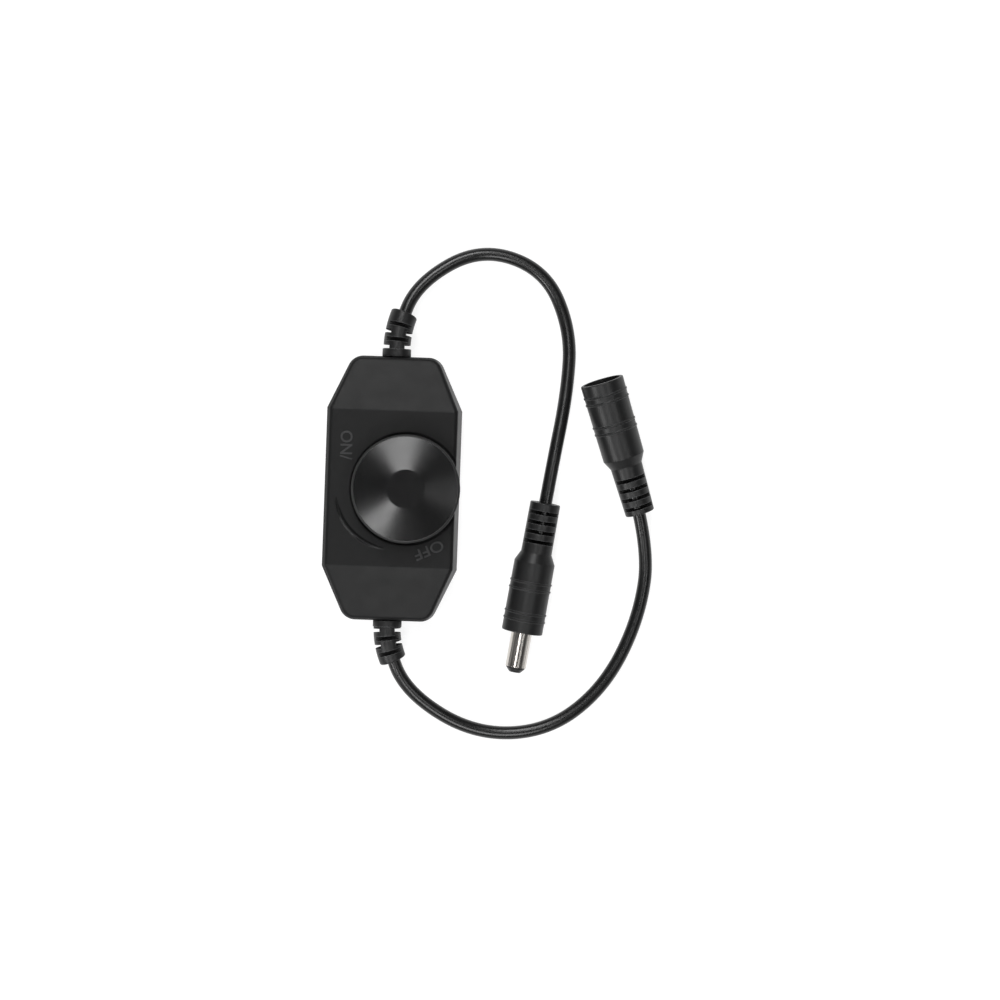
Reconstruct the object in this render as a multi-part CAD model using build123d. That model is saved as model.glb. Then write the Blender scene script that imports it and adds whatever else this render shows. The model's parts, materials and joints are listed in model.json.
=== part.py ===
from build123d import *
import math
import os

# Inline LED dimmer. Millimetres, +Z up, +Y towards the plug's cord, X across.
# The origin is the centre of the housing's underside.

# Housing in plan
BODY_LENGTH = 70.0
BODY_WIDTH = 35.8
SHOULDER_SHARE = 0.6
END_TAPER = 6.5
END_CORNER_RADIUS = 4.3
HALF_LENGTH = BODY_LENGTH / 2
HALF_WIDTH = BODY_WIDTH / 2
HALF_END = HALF_WIDTH - END_TAPER
HALF_SHOULDER = HALF_LENGTH * SHOULDER_SHARE

# Housing from the side
BODY_HEIGHT = 17.0
END_DROP = 5.0
CREASE_INSET = 0.5
PARTING_HEIGHT = 7.0
WALL = 1.8
UPPER_DRAFT = 6.0
LOWER_DRAFT = 3.0
TOP_EDGE_RADIUS = 1.1
BASE_EDGE_RADIUS = 1.0
SEAM_CHAMFER = 0.25
TONGUE_WIDTH = 0.8
TONGUE_HEIGHT = 1.2
TONGUE_CLEARANCE = 0.1
ROOF_STEEPEST = 45.0
HALF_CREASE = HALF_SHOULDER - CREASE_INSET
CEILING = BODY_HEIGHT - WALL

# Knob, which stands a little way over one long side
KNOB_EDGE_INSET = 3.7
KNOB_OVERHANG = 0.3
KNOB_GAP = 1.0
WELL_CLEARANCE = 0.55
WELL_DEPTH = 0.6
KNOB_RIM_HEIGHT = 5.9
KNOB_CONE_RISE = 1.4
KNOB_DISC_RADIUS = 5.05
KNOB_RIM_ROUND = 0.6
KNOB_SKIRT = 1.8
KNOB_ROOF = 2.0
KNOB_HUB_RADIUS = 4.8
KNOB_HUB_LIFT = 0.3
KNOB_RIB_COUNT = 6
KNOB_RIB_WIDTH = 1.2
KNOB_RIB_LIFT = 0.6
KNOB_RADIUS = HALF_WIDTH - KNOB_EDGE_INSET
KNOB_OFFSET = HALF_WIDTH + KNOB_OVERHANG - KNOB_RADIUS
KNOB_BOTTOM = BODY_HEIGHT + KNOB_GAP
KNOB_RIM_TOP = KNOB_BOTTOM + KNOB_RIM_HEIGHT
KNOB_TOP = KNOB_RIM_TOP + KNOB_CONE_RISE
KNOB_CAVITY_TOP = KNOB_RIM_TOP - KNOB_ROOF

# Raised arc beside the knob, highest at its middle and sinking into the face at both ends
ARC_SHIFT_X = -3.75
ARC_SHIFT_Y = -1.2
ARC_EXTRA_RADIUS = 0.45
ARC_BAR_RADIUS = 0.8
ARC_RISE = 0.3
ARC_MIDDLE = 225.0
ARC_HALF_SPAN = 42.0
ARC_RADIUS = KNOB_RADIUS + ARC_EXTRA_RADIUS

# Circuit board
BOARD_SIDE_GAP = 2.1
BOARD_PAST_SHOULDER = 1.0
BOARD_THICK = 1.6
BOARD_LIFT = 2.4
BOARD_POST_RADIUS = 1.3
BOARD_POST_INSET_X = 2.0
BOARD_POST_INSET_Y = 2.5
BOARD_POST_INNER_X = 6.0
HOLE_CLEARANCE = 0.15
BOARD_WIDTH = BODY_WIDTH - (WALL + BOARD_SIDE_GAP) * 2
BOARD_LENGTH = (HALF_SHOULDER + BOARD_PAST_SHOULDER) * 2
BOARD_BOTTOM = WALL + BOARD_LIFT
BOARD_TOP = BOARD_BOTTOM + BOARD_THICK
BOARD_POST_OUTER_X = BOARD_WIDTH / 2 - BOARD_POST_INSET_X
BOARD_POST_Y = BOARD_LENGTH / 2 - BOARD_POST_INSET_Y
CLAMPED_POSTS = [(BOARD_POST_OUTER_X, BOARD_POST_Y), (-BOARD_POST_OUTER_X, -BOARD_POST_Y)]
PLAIN_POSTS = [(-BOARD_POST_INNER_X, BOARD_POST_Y), (BOARD_POST_INNER_X, -BOARD_POST_Y)]

# Screws that hold the two shells together
SCREW_INSET_X = 5.9
SCREW_INSET_Y = 5.0
SCREW_HEAD_RADIUS = 2.0
SCREW_HEAD_HEIGHT = 1.5
SCREW_SHANK_RADIUS = 1.0
SCREW_SEAT = 2.0
SCREW_ROOF_GAP = 3.2
SCREW_POST_RADIUS = 3.0
SCREW_CLEARANCE = 0.2
SCREW_TOP = CEILING - SCREW_ROOF_GAP
SCREW_X = HALF_WIDTH - SCREW_INSET_X
SCREW_Y = HALF_SHOULDER - SCREW_INSET_Y
SCREW_PLACES = [(-SCREW_X, SCREW_Y), (SCREW_X, -SCREW_Y)]

# Potentiometer with switch, which fills the room between the board and the roof
POT_WIDTH = 9.8
POT_LENGTH = 11.4
POT_ROOM_ABOVE = 1.0
POT_COVER_HEIGHT = 3.8
POT_ROOF = 0.9
POT_CHAMBER_RADIUS = 4.4
BUSHING_RADIUS = 3.4
BUSHING_TOP_DROP = 0.4
BUSHING_HOLE_CLEARANCE = 0.2
SHAFT_RADIUS = 3.0
SHAFT_FLAT = 1.5
SHAFT_ROOF_GAP = 0.1
RUNNING_CLEARANCE = 0.05
KNOB_FIT = 0.02
MOVING_GAP = 0.35
ROTOR_RADIUS = 4.0
ROTOR_THICK = 2.2
WIPER_INNER = 2.2
WIPER_OUTER = 3.8
WIPER_OPENING = 70.0
PIN_WIDTH = 0.8
PIN_THICK = 0.4
PIN_REACH = 1.2
PIN_PITCH = 2.5
PIN_EMBED = 1.0
POT_COVER_TOP = CEILING - POT_ROOM_ABOVE
POT_BASE_TOP = POT_COVER_TOP - POT_COVER_HEIGHT
BUSHING_TOP = BODY_HEIGHT - BUSHING_TOP_DROP
SHAFT_TOP = KNOB_RIM_TOP - SHAFT_ROOF_GAP

# Cord and strain reliefs
CORD_RADIUS = 1.75
CORD_FLOOR_GAP = 0.1
CORD_INNER_DEPTH = 4.0
CORD_BEND_SHARE = 0.45
RELIEF_BASE_RADIUS = 3.8
RELIEF_RADIUS = 3.6
RELIEF_NECK_RADIUS = 2.9
RELIEF_FLANGE_THICK = 1.3
RELIEF_FLANGE_GAP = 0.5
RELIEF_WEB = 3.9
RELIEF_SLOT_WIDTH = 1.05
RELIEF_SLOT_COUNT = 4
RELIEF_FIRST_SLOT = 2.55
RELIEF_SLOT_PITCH = 1.85
RELIEF_EDGE_ROUND = 0.4
CORD_INNER_END = HALF_LENGTH - CORD_INNER_DEPTH
CORD_LIE = CORD_RADIUS + CORD_FLOOR_GAP
CORD_FALLING = (PARTING_HEIGHT + CORD_LIE) / 2
CORD_RISING = 4.0

# Where the photograph shows each cord to go: corner points of its route, with the
# distance from the housing's end wall as the second number
OUTPUT_RELIEF_CORNER = 6.9
OUTPUT_CORNERS = [
    (4.75, 19.75, CORD_FALLING),
    (21.0, 30.0, CORD_LIE),
    (38.5, 24.75, CORD_LIE),
    (46.0, 8.75, CORD_LIE),
    (45.5, -8.25, CORD_RISING),
]
INPUT_RELIEF_CORNER = 6.2
INPUT_CORNERS = [
    (5.75, 19.0, CORD_FALLING),
    (23.75, 29.5, CORD_LIE),
    (43.25, 28.25, CORD_LIE),
    (58.0, 16.25, CORD_LIE),
    (66.75, -2.5, CORD_LIE),
]
CORD_IN_PLUG = 9.0
LEAD_IN = 9.3

# Plug, measured along its axis from the cord's end
PLUG_REAR = (40.75, -2.4, 7.7)
PLUG_HEADING = -98.3
PLUG_TILT = -3.5
PLUG_LENGTH = 34.8
PLUG_RELIEF_LENGTH = 13.4
PLUG_SHOULDER_LENGTH = 2.6
PLUG_RELIEF_REAR_RADIUS = 4.0
PLUG_RELIEF_FRONT_RADIUS = 4.1
PLUG_GRIP_REAR_RADIUS = 5.4
PLUG_GRIP_FRONT_RADIUS = 5.45
PLUG_FIRST_SLOT = 2.6
BARREL_RADIUS = 2.75
BARREL_WALL = 0.5
BARREL_ROOT_STEP = 0.25
BARREL_REACH = 9.4
BARREL_EMBED = 7.0
TIP_LENGTH = 1.45
TIP_BAND = 0.4
TIP_RADIUS = 2.6
TIP_EDGE_RADIUS = 2.45
TIP_NOSE_RADIUS = 1.5
CONTACT_RADIUS = 1.55
CONTACT_BORE_RADIUS = 1.05
CONTACT_SETBACK = 0.4
CONTACT_DEPTH = 10.0
CONTACT_BACK = 1.0
BARREL_INNER_RADIUS = BARREL_RADIUS - BARREL_WALL
BARREL_ROOT_RADIUS = BARREL_RADIUS - BARREL_ROOT_STEP
BARREL_ROOT_INNER_RADIUS = BARREL_ROOT_RADIUS - BARREL_WALL
BARREL_ROOT = PLUG_LENGTH - BARREL_EMBED
BARREL_MOUTH = PLUG_LENGTH + BARREL_REACH
PLUG_NOSE = BARREL_MOUTH + TIP_LENGTH
CONTACT_END = PLUG_NOSE - CONTACT_SETBACK

# Jack, measured along its axis from the cord's end
JACK_REAR = (66.0, -4.1, 4.0)
JACK_HEADING = 108.5
JACK_TILT = 8.0
JACK_LENGTH = 36.7
JACK_RELIEF_LENGTH = 13.2
JACK_SHOULDER_LENGTH = 2.5
JACK_RELIEF_REAR_RADIUS = 3.9
JACK_RELIEF_FRONT_RADIUS = 4.25
JACK_GRIP_REAR_RADIUS = 5.55
JACK_GRIP_FRONT_RADIUS = 5.8
JACK_FIRST_SLOT = 1.9
INSERT_RADIUS = 5.0
INSERT_SETBACK = 1.3
INSERT_LENGTH = 13.0
SOCKET_RADIUS = 2.9
SOCKET_DEPTH = 9.5
JACK_PIN_RADIUS = 1.0
JACK_PIN_SETBACK = 0.8
JACK_STEM_RADIUS = 1.3
SPRING_WIDTH = 2.0
SPRING_THICK = 0.3
SPRING_ROOM = 0.9
SPRING_LENGTH = 8.0
SPRING_RISE = 1.0
SPRING_SIDE_GAP = 0.05
INSERT_FACE = JACK_LENGTH - INSERT_SETBACK
INSERT_BACK = INSERT_FACE - INSERT_LENGTH
SOCKET_FLOOR = INSERT_FACE - SOCKET_DEPTH

# Slots and beads shared by the plug's and the jack's overmoulds
SLOT_COUNT = 4
SLOT_PITCH = 2.58
SLOT_WIDTH = 1.0
SLOT_WEB = 3.0
BEAD_FROM_MOUTH = [3.4, 5.3, 11.6, 13.5]
BEAD_RADIUS = 0.3
BEAD_STAND = 0.22
GRIP_EDGE_ROUND = 0.3

# Wires between the cords and the board
WIRE_RADIUS = 0.6
WIRE_SPACING = 1.6
WIRE_STRAIGHT = 2.5
WIRE_PAD_X = 2.5
WIRE_PAD_INSET_Y = 4.5
WIRE_OVER_BOARD = 2.4
WIRE_BELOW_BOARD = 0.6
WIRE_BEND_SHARE = 0.4
WIRE_PAD_Y = BOARD_LENGTH / 2 - WIRE_PAD_INSET_Y

# Parts on the board
CHIP_INSET_X, CHIP_Y = 6.0, -8.0
CHIP_LENGTH, CHIP_WIDTH, CHIP_HEIGHT = 5.0, 4.0, 1.5
CHIP_LEAD_PITCH = 1.27
CHIP_LEADS_A_SIDE = 4
LEAD_WIDTH = 0.45
LEAD_THICK = 0.25
LEAD_SPAN = 1.0
LEAD_FOOT = 0.6
TRANSISTOR_INSET_X, TRANSISTOR_Y = 5.5, 3.0
TRANSISTOR_LENGTH, TRANSISTOR_WIDTH, TRANSISTOR_HEIGHT = 6.1, 6.6, 2.3
TRANSISTOR_TAB = 1.2
TRANSISTOR_TAB_WIDTH = 5.3
TRANSISTOR_TAB_THICK = 0.5
TRANSISTOR_LEAD_PITCH = 2.3
TRANSISTOR_LEAD_WIDTH = 0.75
CAPACITOR_INSET_X, CAPACITOR_Y = 5.5, 13.0
CAPACITOR_RADIUS = 3.15
CAPACITOR_HEADROOM = 1.7
CAPACITOR_CRIMP = 0.35
CAPACITOR_CRIMP_AT = 1.6
CAPACITOR_ROUND = 0.4
CAPACITOR_HEIGHT = CEILING - BOARD_TOP - CAPACITOR_HEADROOM
DIODE_INSET_X, DIODE_Y = 8.5, 11.0
DIODE_LENGTH, DIODE_WIDTH, DIODE_HEIGHT = 4.3, 2.6, 2.2
DIODE_TERMINAL = 0.4
BODY_CHAMFER = 0.3
RESISTOR_LENGTH, RESISTOR_WIDTH, RESISTOR_HEIGHT = 2.0, 1.25, 0.55
RESISTOR_PLACES = [(-3.5, -12.5), (0.5, -12.5), (4.5, -12.5), (1.5, 12.5)]
CHIP_X = CHIP_INSET_X - BOARD_WIDTH / 2
TRANSISTOR_X = TRANSISTOR_INSET_X - BOARD_WIDTH / 2
DIODE_X = DIODE_INSET_X - BOARD_WIDTH / 2
CAPACITOR_X = BOARD_WIDTH / 2 - CAPACITOR_INSET_X

# How far a cutting shape stands past what it cuts, and how near counts as the same
REACH = 5.0
TINY = 0.01


def rod(radius, low, high, x=0.0, y=0.0):
    """An upright cylinder between two heights."""
    return Pos(x, y, low) * extrude(Circle(radius), high - low)


def block(length_x, length_y, low, high, x=0.0, y=0.0):
    """An upright box between two heights."""
    return Pos(x, y, low) * extrude(Rectangle(length_x, length_y), high - low)


def turned(points):
    """A solid of revolution about Z from (radius, height) points."""
    return revolve(Plane.XZ * make_face(Polyline(*points, close=True)), Axis.Z)


def housing_outline(inset):
    """The housing's plan: a long octagon with rounded ends, moved in by an inset."""
    right = [
        (HALF_END, -HALF_LENGTH),
        (HALF_WIDTH, -HALF_SHOULDER),
        (HALF_WIDTH, HALF_SHOULDER),
        (HALF_END, HALF_LENGTH),
    ]
    left = [(-x, y) for x, y in reversed(right)]
    outline = make_face(Polyline(*right, *left, close=True))
    ends = outline.vertices().filter_by(lambda v: abs(abs(v.Y) - HALF_LENGTH) < TINY)
    outline = fillet(ends, END_CORNER_RADIUS)
    return offset(outline, -inset, kind=Kind.INTERSECTION) if inset else outline


def under_roof(inset):
    """Everything under the roof line: flat between the creases, falling to both ends."""
    top = BODY_HEIGHT - inset
    slope = END_DROP / (HALF_LENGTH - HALF_CREASE)
    far = HALF_LENGTH + REACH
    far_top = top - slope * (far - HALF_CREASE)
    side = [
        (-far, 0),
        (-far, far_top),
        (-HALF_CREASE, top),
        (HALF_CREASE, top),
        (far, far_top),
        (far, 0),
    ]
    return extrude(Plane.YZ * make_face(Polyline(*side, close=True)), BODY_WIDTH, both=True)


def upper_form(inset):
    """The upper shell as a full block, moved in by an inset."""
    rise = BODY_HEIGHT - PARTING_HEIGHT
    drafted = extrude(housing_outline(inset), rise, taper=UPPER_DRAFT)
    return (Pos(0, 0, PARTING_HEIGHT) * drafted) & under_roof(inset)


def lower_form(inset, depth):
    """The lower shell as a full block, moved in by an inset."""
    drafted = extrude(housing_outline(inset), depth, taper=LOWER_DRAFT)
    return Pos(0, 0, PARTING_HEIGHT) * mirror(drafted, about=Plane.XY)


def round_roof(form):
    """Rounds the roof's outer edges and leaves the two creases crisp."""
    least_rise = math.cos(math.radians(ROOF_STEEPEST))
    roof = form.faces().filter_by(lambda face: face.normal_at().Z > least_rise)
    rims = [edge for edge in roof.edges() if abs(abs(edge.center().Y) - HALF_CREASE) > TINY]
    return fillet(rims, TOP_EDGE_RADIUS)


def neck_holes():
    """Round holes in both end walls, on the parting plane, for the strain reliefs."""
    span = BODY_LENGTH + REACH
    hole = Pos(0, 0, PARTING_HEIGHT) * Rot(90, 0, 0) * Cylinder(RELIEF_NECK_RADIUS, span)
    between_walls = BODY_LENGTH - WALL * 4
    return hole - Box(BODY_WIDTH, between_walls, BODY_LENGTH)


def raised_arc():
    """A bar bent to a ring and tipped, so that one stretch of it stands out of the face."""
    lowered = 1 - math.cos(math.radians(ARC_HALF_SPAN))
    tipping = ARC_RISE / lowered
    tip = math.degrees(math.asin(tipping / ARC_RADIUS))
    middle = BODY_HEIGHT + ARC_RISE - ARC_BAR_RADIUS - tipping
    ring = Rot(0, 0, ARC_MIDDLE) * Rot(0, -tip, 0) * Torus(ARC_RADIUS, ARC_BAR_RADIUS)
    ring = Pos(KNOB_OFFSET + ARC_SHIFT_X, ARC_SHIFT_Y, middle) * ring
    return ring & block(BODY_WIDTH, BODY_LENGTH, BODY_HEIGHT - WALL / 2, KNOB_BOTTOM)


def upper_housing():
    """The upper shell, with its screw posts, board posts, knob well and raised arc."""
    shell = round_roof(upper_form(0))
    seam = shell.faces().sort_by(Axis.Z)[0].edges()
    shell = chamfer(seam, SEAM_CHAMFER)
    shell -= upper_form(WALL)
    rebate = WALL - TONGUE_WIDTH - TONGUE_CLEARANCE
    step = TONGUE_HEIGHT + TONGUE_CLEARANCE
    shell -= Pos(0, 0, PARTING_HEIGHT) * extrude(housing_outline(rebate), step)
    for x, y in SCREW_PLACES:
        shell += rod(SCREW_POST_RADIUS, PARTING_HEIGHT, CEILING + WALL / 2, x, y)
        shell -= rod(SCREW_SHANK_RADIUS, PARTING_HEIGHT, SCREW_TOP + TINY, x, y)
    for x, y in CLAMPED_POSTS:
        shell += rod(BOARD_POST_RADIUS, BOARD_TOP, CEILING + WALL / 2, x, y)
    hole = BUSHING_RADIUS + BUSHING_HOLE_CLEARANCE
    shell -= rod(hole, PARTING_HEIGHT, BODY_HEIGHT + REACH, KNOB_OFFSET)
    well = KNOB_RADIUS + WELL_CLEARANCE
    shell -= rod(well, BODY_HEIGHT - WELL_DEPTH, BODY_HEIGHT + REACH, KNOB_OFFSET)
    shell += raised_arc()
    return shell - neck_holes()


def lower_housing():
    """The lower shell, with a tongue round its rim, posts and screw recesses."""
    shell = lower_form(0, PARTING_HEIGHT)
    shell = fillet(shell.faces().sort_by(Axis.Z)[0].edges(), BASE_EDGE_RADIUS)
    seam = shell.faces().sort_by(Axis.Z)[-1].edges()
    shell = chamfer(seam, SEAM_CHAMFER)
    shell -= lower_form(WALL, PARTING_HEIGHT - WALL)
    rim = housing_outline(WALL - TONGUE_WIDTH) - housing_outline(WALL)
    shell += Pos(0, 0, PARTING_HEIGHT) * extrude(rim, TONGUE_HEIGHT)
    for x, y in CLAMPED_POSTS + PLAIN_POSTS:
        shell += rod(BOARD_POST_RADIUS, WALL / 2, BOARD_BOTTOM, x, y)
    for x, y in SCREW_PLACES:
        shell += rod(SCREW_POST_RADIUS, WALL / 2, PARTING_HEIGHT, x, y)
        shell -= rod(SCREW_SHANK_RADIUS + SCREW_CLEARANCE, -REACH, BODY_HEIGHT, x, y)
        shell -= rod(SCREW_HEAD_RADIUS + SCREW_CLEARANCE, -REACH, SCREW_SEAT, x, y)
    return shell - neck_holes()


def housing_screws():
    """The screws, with domed heads, that come up from the underside."""
    low = SCREW_SEAT - SCREW_HEAD_HEIGHT
    half_head = SCREW_HEAD_HEIGHT / 2
    points = [
        (0, low),
        (SCREW_HEAD_RADIUS - half_head, low),
        (SCREW_HEAD_RADIUS, SCREW_SEAT - half_head),
        (SCREW_HEAD_RADIUS, SCREW_SEAT),
        (SCREW_SHANK_RADIUS, SCREW_SEAT),
        (SCREW_SHANK_RADIUS, SCREW_TOP - SCREW_SHANK_RADIUS),
        (0, SCREW_TOP),
    ]
    screw = turned(points)
    return Compound([Pos(x, y, 0) * screw.solid() for x, y in SCREW_PLACES])


def knob_form():
    """The knob's outside: a plain skirt, a shallow cone and a flat disc on top."""
    profile = make_face(
        Polyline(
            (0, KNOB_BOTTOM),
            (KNOB_RADIUS, KNOB_BOTTOM),
            (KNOB_RADIUS, KNOB_RIM_TOP),
            (KNOB_DISC_RADIUS, KNOB_TOP),
            (0, KNOB_TOP),
            close=True,
        )
    )
    rim = profile.vertices().filter_by(
        lambda v: abs(v.X - KNOB_RADIUS) < TINY and abs(v.Y - KNOB_RIM_TOP) < TINY
    )
    profile = fillet(rim, KNOB_RIM_ROUND)
    return revolve(Plane.XZ * profile, Axis.Z)


def d_section(radius, flat):
    """A round with one flat, for the shaft's end and the knob's bore."""
    return Circle(radius) - Pos(flat + radius, 0) * Rectangle(radius * 2, radius * 2)


def knob():
    """The knob: hollow below, with ribs and a hub that takes the shaft's flat."""
    cavity = Circle(KNOB_RADIUS - KNOB_SKIRT) - Circle(KNOB_HUB_RADIUS)
    deep = KNOB_CAVITY_TOP - KNOB_BOTTOM
    form = knob_form() - Pos(0, 0, KNOB_BOTTOM) * extrude(cavity, deep)
    span = KNOB_RADIUS - KNOB_SKIRT / 2 - KNOB_HUB_RADIUS / 2
    middle = (KNOB_RADIUS - KNOB_SKIRT / 2 + KNOB_HUB_RADIUS / 2) / 2
    rib = block(span, KNOB_RIB_WIDTH, KNOB_BOTTOM + KNOB_RIB_LIFT, KNOB_CAVITY_TOP, middle)
    for turn in range(KNOB_RIB_COUNT):
        form += Rot(0, 0, turn * 360 / KNOB_RIB_COUNT) * rib
    form -= rod(KNOB_HUB_RADIUS, KNOB_BOTTOM - REACH, KNOB_BOTTOM + KNOB_HUB_LIFT)
    bore = d_section(SHAFT_RADIUS + KNOB_FIT, SHAFT_FLAT + KNOB_FIT)
    form -= Pos(0, 0, KNOB_BOTTOM) * extrude(bore, KNOB_RIM_HEIGHT)
    return Pos(KNOB_OFFSET, 0, 0) * form


def pot_shaft():
    """The turning shaft, with its rotor below and its flat above."""
    low = POT_BASE_TOP + MOVING_GAP
    flat_low = KNOB_BOTTOM
    shaft = rod(ROTOR_RADIUS, low, low + ROTOR_THICK)
    shaft += rod(SHAFT_RADIUS, low, flat_low)
    end = d_section(SHAFT_RADIUS, SHAFT_FLAT)
    shaft += Pos(0, 0, flat_low) * extrude(end, SHAFT_TOP - flat_low)
    return Pos(KNOB_OFFSET, 0, 0) * shaft


def pot_wiper():
    """The open ring of sheet metal under the rotor that slides on the track."""
    top = POT_BASE_TOP + MOVING_GAP
    ring = Circle(WIPER_OUTER) - Circle(WIPER_INNER)
    half = math.radians(WIPER_OPENING / 2)
    far = WIPER_OUTER * 2
    gap = [(0, 0), (far, far * math.tan(half)), (far, -far * math.tan(half))]
    ring -= make_face(Polyline(*gap, close=True))
    low = POT_BASE_TOP + RUNNING_CLEARANCE
    return Pos(KNOB_OFFSET, 0, low) * extrude(ring, top - low)


def pot_cover():
    """The pressed cover with its chamber for the rotor and its bushing."""
    cover = block(POT_WIDTH, POT_LENGTH, POT_BASE_TOP, POT_COVER_TOP)
    cover = chamfer(cover.edges().filter_by(Axis.Z), BODY_CHAMFER)
    cover += rod(BUSHING_RADIUS, POT_COVER_TOP, BUSHING_TOP)
    cover -= rod(POT_CHAMBER_RADIUS, POT_BASE_TOP, POT_COVER_TOP - POT_ROOF)
    cover -= rod(SHAFT_RADIUS + RUNNING_CLEARANCE, POT_BASE_TOP, BODY_HEIGHT)
    return Pos(KNOB_OFFSET, 0, 0) * cover


def pot_pin_places():
    """Three track pins along one side and two switch pins along the other."""
    side = POT_LENGTH / 2 - PIN_EMBED
    track = [(KNOB_OFFSET + step * PIN_PITCH, -side) for step in (-1, 0, 1)]
    switch = [(KNOB_OFFSET + step * PIN_PITCH, side) for step in (-1, 1)]
    return track + switch


def pin_column(x, y, grow, low, high):
    """One flat pin, or the hole for it when grown."""
    return block(PIN_WIDTH + grow * 2, PIN_THICK + grow * 2, low, high, x, y)


def pot_base():
    """The moulded base with the track and the switch in it."""
    base = block(POT_WIDTH, POT_LENGTH, BOARD_TOP, POT_BASE_TOP, KNOB_OFFSET)
    base = chamfer(base.edges().filter_by(Axis.Z), BODY_CHAMFER)
    for x, y in pot_pin_places():
        base -= pin_column(x, y, 0, BOARD_TOP, BOARD_TOP + PIN_EMBED)
    return base


def pot_pins():
    """The pins that hold the potentiometer on the board."""
    low = BOARD_BOTTOM - PIN_REACH
    high = BOARD_TOP + PIN_EMBED
    return Compound([pin_column(x, y, 0, low, high).solid() for x, y in pot_pin_places()])


def wire_pads():
    """The four wire holes: (cord side, polarity side)."""
    return [(side, sign) for side in (1, -1) for sign in (1, -1)]


def circuit_board():
    """The board, notched round the screw posts and drilled for pins and wires."""
    board = block(BOARD_WIDTH, BOARD_LENGTH, BOARD_BOTTOM, BOARD_TOP)
    notch = SCREW_POST_RADIUS + SCREW_CLEARANCE
    for x, y in SCREW_PLACES:
        side = math.copysign(1, x)
        end = math.copysign(1, y)
        corner_x = x - side * notch + side * BOARD_WIDTH / 2
        corner_y = y - end * notch + end * BOARD_LENGTH / 2
        board -= block(BOARD_WIDTH, BOARD_LENGTH, 0, BODY_HEIGHT, corner_x, corner_y)
    for x, y in pot_pin_places():
        board -= pin_column(x, y, HOLE_CLEARANCE, 0, BODY_HEIGHT)
    for side, sign in wire_pads():
        hole = WIRE_RADIUS + HOLE_CLEARANCE
        board -= rod(hole, 0, BODY_HEIGHT, sign * WIRE_PAD_X, side * WIRE_PAD_Y)
    return board


def gull_lead(width, rise):
    """A bent lead that steps out along +X from the body and down to the board."""
    knee = LEAD_SPAN - LEAD_FOOT
    side = [
        (-LEAD_THICK, rise),
        (knee, rise),
        (knee, 0),
        (LEAD_SPAN, 0),
        (LEAD_SPAN, LEAD_THICK),
        (knee + LEAD_THICK, LEAD_THICK),
        (knee + LEAD_THICK, rise + LEAD_THICK),
        (-LEAD_THICK, rise + LEAD_THICK),
    ]
    return extrude(Plane.XZ * make_face(Polyline(*side, close=True)), width / 2, both=True)


def moulded_body(length_x, length_y, height, lift):
    """A component's body with a bevelled top."""
    body = Pos(0, 0, lift) * extrude(Rectangle(length_x, length_y), height - lift)
    return chamfer(body.faces().sort_by(Axis.Z)[-1].edges(), BODY_CHAMFER)


def control_chip():
    """The chip that switches the load, with leads along two sides."""
    chip = moulded_body(CHIP_WIDTH, CHIP_LENGTH, CHIP_HEIGHT, LEAD_THICK / 2)
    lead = Pos(CHIP_WIDTH / 2, 0, 0) * gull_lead(LEAD_WIDTH, CHIP_HEIGHT / 2)
    for step in range(CHIP_LEADS_A_SIDE):
        along = (step - (CHIP_LEADS_A_SIDE - 1) / 2) * CHIP_LEAD_PITCH
        chip += Pos(0, along, 0) * lead
        chip += Pos(0, along, 0) * Rot(0, 0, 180) * lead
    return Pos(CHIP_X, CHIP_Y, BOARD_TOP) * chip


def power_transistor():
    """The transistor that carries the load, with its tab and two leads."""
    part = moulded_body(TRANSISTOR_WIDTH, TRANSISTOR_LENGTH, TRANSISTOR_HEIGHT, 0)
    tab_y = TRANSISTOR_LENGTH / 2 + TRANSISTOR_TAB / 2
    part += block(TRANSISTOR_TAB_WIDTH, TRANSISTOR_TAB, 0, TRANSISTOR_TAB_THICK, 0, tab_y)
    lead = gull_lead(TRANSISTOR_LEAD_WIDTH, TRANSISTOR_HEIGHT / 2)
    for side in (1, -1):
        at = Pos(side * TRANSISTOR_LEAD_PITCH, -TRANSISTOR_LENGTH / 2, 0)
        part += at * Rot(0, 0, -90) * lead
    return Pos(TRANSISTOR_X, TRANSISTOR_Y, BOARD_TOP) * part


def filter_capacitor():
    """The upright can with the crimp near its foot."""
    crimp = CAPACITOR_CRIMP
    can = rod(CAPACITOR_RADIUS, 0, CAPACITOR_HEIGHT)
    can = fillet(can.faces().sort_by(Axis.Z)[-1].edges(), CAPACITOR_ROUND)
    section = Pos(CAPACITOR_RADIUS + crimp / 2, CAPACITOR_CRIMP_AT) * Circle(crimp * 2)
    groove = revolve(Plane.XZ * section, Axis.Z)
    return Pos(CAPACITOR_X, CAPACITOR_Y, BOARD_TOP) * (can - groove)


def clamp_diode():
    """The diode with a terminal at each end."""
    lift = DIODE_TERMINAL / 2
    diode = moulded_body(DIODE_LENGTH, DIODE_WIDTH, DIODE_HEIGHT, lift)
    for side in (1, -1):
        x = side * (DIODE_LENGTH / 2)
        diode += block(DIODE_TERMINAL * 2, DIODE_WIDTH / 2, 0, DIODE_HEIGHT / 2, x)
    return Pos(DIODE_X, DIODE_Y, BOARD_TOP) * diode


def chip_resistors():
    """The small resistors, as one group."""
    high = BOARD_TOP + RESISTOR_HEIGHT
    bodies = [
        block(RESISTOR_LENGTH, RESISTOR_WIDTH, BOARD_TOP, high, x, y).solid()
        for x, y in RESISTOR_PLACES
    ]
    return Compound(bodies)


def turn_angle(before, at, after):
    """The angle in radians by which a route turns at one of its corners."""
    come = Vector(*at) - Vector(*before)
    go = Vector(*after) - Vector(*at)
    return math.radians(come.get_angle(go))


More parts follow.
